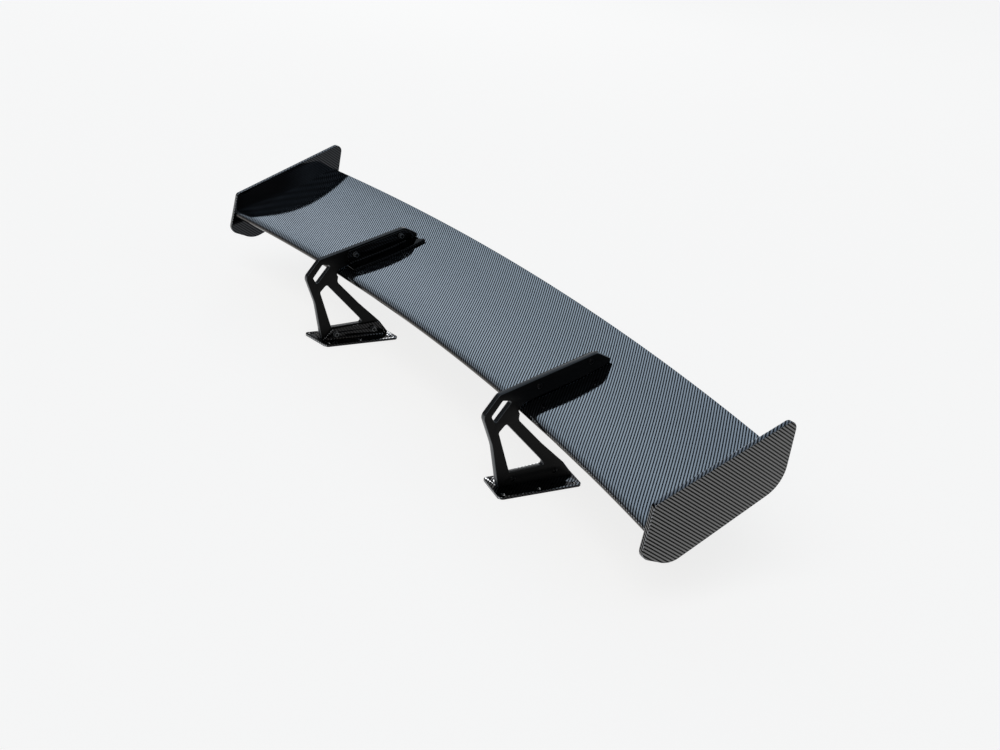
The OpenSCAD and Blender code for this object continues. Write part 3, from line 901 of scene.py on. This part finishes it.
# The turned radius is smallest at both ends, a little inside the flats.
x = add(nut_tree, "ShaderNodeSeparateXYZ", {0: add(nut_tree, "GeometryNodeInputPosition")}).outputs["X"]
half_height = add(nut_tree, "ShaderNodeMath", {0: sizes.outputs["Height"], 1: 0.5}, operation="MULTIPLY")
from_middle = add(nut_tree, "ShaderNodeMath", {0: x}, operation="ABSOLUTE")
from_end = add(nut_tree, "ShaderNodeMath", {0: half_height, 1: from_middle}, operation="SUBTRACT")
end_radius = add(nut_tree, "ShaderNodeMath", {0: sizes.outputs["Flats"], 1: 0.485}, operation="MULTIPLY")
steep = add(nut_tree, "ShaderNodeMath", {0: from_end, 1: sizes.outputs["Chamfer"]}, operation="MULTIPLY")
turned_radius = add(nut_tree, "ShaderNodeMath", {0: end_radius, 1: steep})
low_end = add(nut_tree, "ShaderNodeMath", {0: half_height, 1: -1.0}, operation="MULTIPLY")
turning = lathe(nut_tree, low_end, half_height, 21, turned_radius)
bevelled = add(nut_tree, "GeometryNodeMeshBoolean", {
    "Mesh 2": block}, solver="EXACT", operation="INTERSECT")
nut_tree.links.new(turning.outputs[0], bevelled.inputs["Mesh 2"])
drill_length = 0.02
drill = prism(nut_tree, 32, sizes.outputs["Bore"], drill_length, 0.0)
nut = add(nut_tree, "GeometryNodeMeshBoolean", {"Mesh 1": bevelled, "Mesh 2": drill}, solver="EXACT")
placed(nut_tree, sizes, nut)

for which, bolts in (("arm", arm_bolts), ("foot", foot_bolts)):
    nuts = grown(which + "_hexagon_nuts", bolt_places(nut_middle, bolts), nut_tree, {
        "Flats": nut_flats, "Height": nut_height, "Bore": thread / 2 + bore_play, "Chamfer": 1.7,
        "Material": zinc})
    outward(nuts)
    shade(nuts, 30)
    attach(nuts, "root")
    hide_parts(which + "_nuts")


# ---------------------------------------------------------------------------------------
# The room: a pale floor that runs out of sight, one broad soft light from the front right, a
# small panel beyond the far side, and a sky that is dim low down and high up.

# The floor lies a hair below the base plates, so that the two never share a plane.
floor_drop = 0.0001
floor_half = 20.0
floor_shape = bmesh.new()
bmesh.ops.create_grid(floor_shape, x_segments=8, y_segments=8, size=floor_half)
bmesh.ops.translate(floor_shape, vec=(0.0, 0.0, -floor_drop), verts=floor_shape.verts)
floor_mesh = bpy.data.meshes.new("floor")
floor_shape.to_mesh(floor_mesh)
floor_shape.free()
floor = bpy.data.objects.new("floor", floor_mesh)
bpy.context.scene.collection.objects.link(floor)
pale, tree = start_material("pale studio floor")
shader = add(tree, "ShaderNodeBsdfPrincipled", {
    "Base Color": (0.35, 0.35, 0.35, 1.0), "Roughness": 0.9, "Specular IOR Level": 0.0,
    "Emission Color": (1.0, 0.995, 0.985, 1.0), "Emission Strength": 0.78})
# From below, the floor lets the underside of the wing be seen.
below = add(tree, "ShaderNodeNewGeometry").outputs["Backfacing"]
clear = add(tree, "ShaderNodeBsdfTransparent")
one_way = add(tree, "ShaderNodeMixShader", {0: below, 1: shader, 2: clear})
add(tree, "ShaderNodeOutputMaterial", {"Surface": one_way})
floor.data.materials.append(pale)

sky = bpy.data.worlds.new("sky")
bpy.context.scene.world = sky
sky.use_nodes = True
tree = sky.node_tree
tree.nodes.clear()
way = add(tree, "ShaderNodeSeparateXYZ", {0: add(tree, "ShaderNodeTexCoord")})
shades = add(tree, "ShaderNodeValToRGB", {0: way.outputs["Z"]})
stops = shades.color_ramp.elements
while len(stops) < 7:
    stops.new(0.5)
for stop, (height, red, green, blue) in zip(stops, (
        (0.0, 0.13, 0.13, 0.13), (0.38, 0.14, 0.14, 0.15), (0.44, 0.26, 0.28, 0.31),
        (0.49, 0.45, 0.50, 0.56), (0.62, 0.33, 0.38, 0.43), (0.72, 0.23, 0.27, 0.32),
        (1.0, 0.19, 0.22, 0.25))):
    stop.position = height
    stop.color = (red, green, blue, 1.0)
# The sky is dimmer towards the front of the wing.
forward = add(tree, "ShaderNodeMapRange", {0: way.outputs["Y"], 1: -0.2, 2: 0.0, 3: 0.45, 4: 1.0})
glow = add(tree, "ShaderNodeBackground", {"Color": shades, "Strength": forward})
# The sky seen past the edge of the floor is as pale as the floor.
backdrop = add(tree, "ShaderNodeBackground", {"Color": (0.92, 0.92, 0.92, 1.0), "Strength": 1.0})
seen = add(tree, "ShaderNodeLightPath").outputs["Is Camera Ray"]
all_round = add(tree, "ShaderNodeMixShader", {0: seen, 1: glow, 2: backdrop})
add(tree, "ShaderNodeOutputWorld", {"Surface": all_round})

sun = bpy.data.lights.new("soft_key", "SUN")
sun.energy = 0.8
sun.angle = math.radians(50)
key = bpy.data.objects.new("soft_key", sun)
key.rotation_euler = Vector((0.35, -0.55, 0.76)).to_track_quat("Z", "Y").to_euler()
bpy.context.scene.collection.objects.link(key)

panel_distance = 5.0
panel = bpy.data.lights.new("far_panel", "AREA")
panel.size = 0.8
panel.energy = 7.0
far_panel = bpy.data.objects.new("far_panel", panel)
from_far = Vector((-0.83, 0.427, 0.36))
far_panel.location = panel_distance * from_far
far_panel.rotation_euler = from_far.to_track_quat("Z", "Y").to_euler()
bpy.context.scene.collection.objects.link(far_panel)

lens = bpy.data.cameras.new("camera")
lens.lens = 58.43
lens.sensor_width = 36.0
lens.clip_end = 100.0
camera = bpy.data.objects.new("camera", lens)
turned = Matrix((
    (0.50570, -0.36977, 0.77944), (0.85685, 0.11019, -0.50365), (0.10035, 0.92256, 0.37256)))
camera.matrix_world = Matrix.Translation((2.1395, -1.2942, 1.0587)) @ turned.to_4x4()
bpy.context.scene.collection.objects.link(camera)
bpy.context.scene.camera = camera
bpy.context.scene.view_settings.view_transform = "Standard"
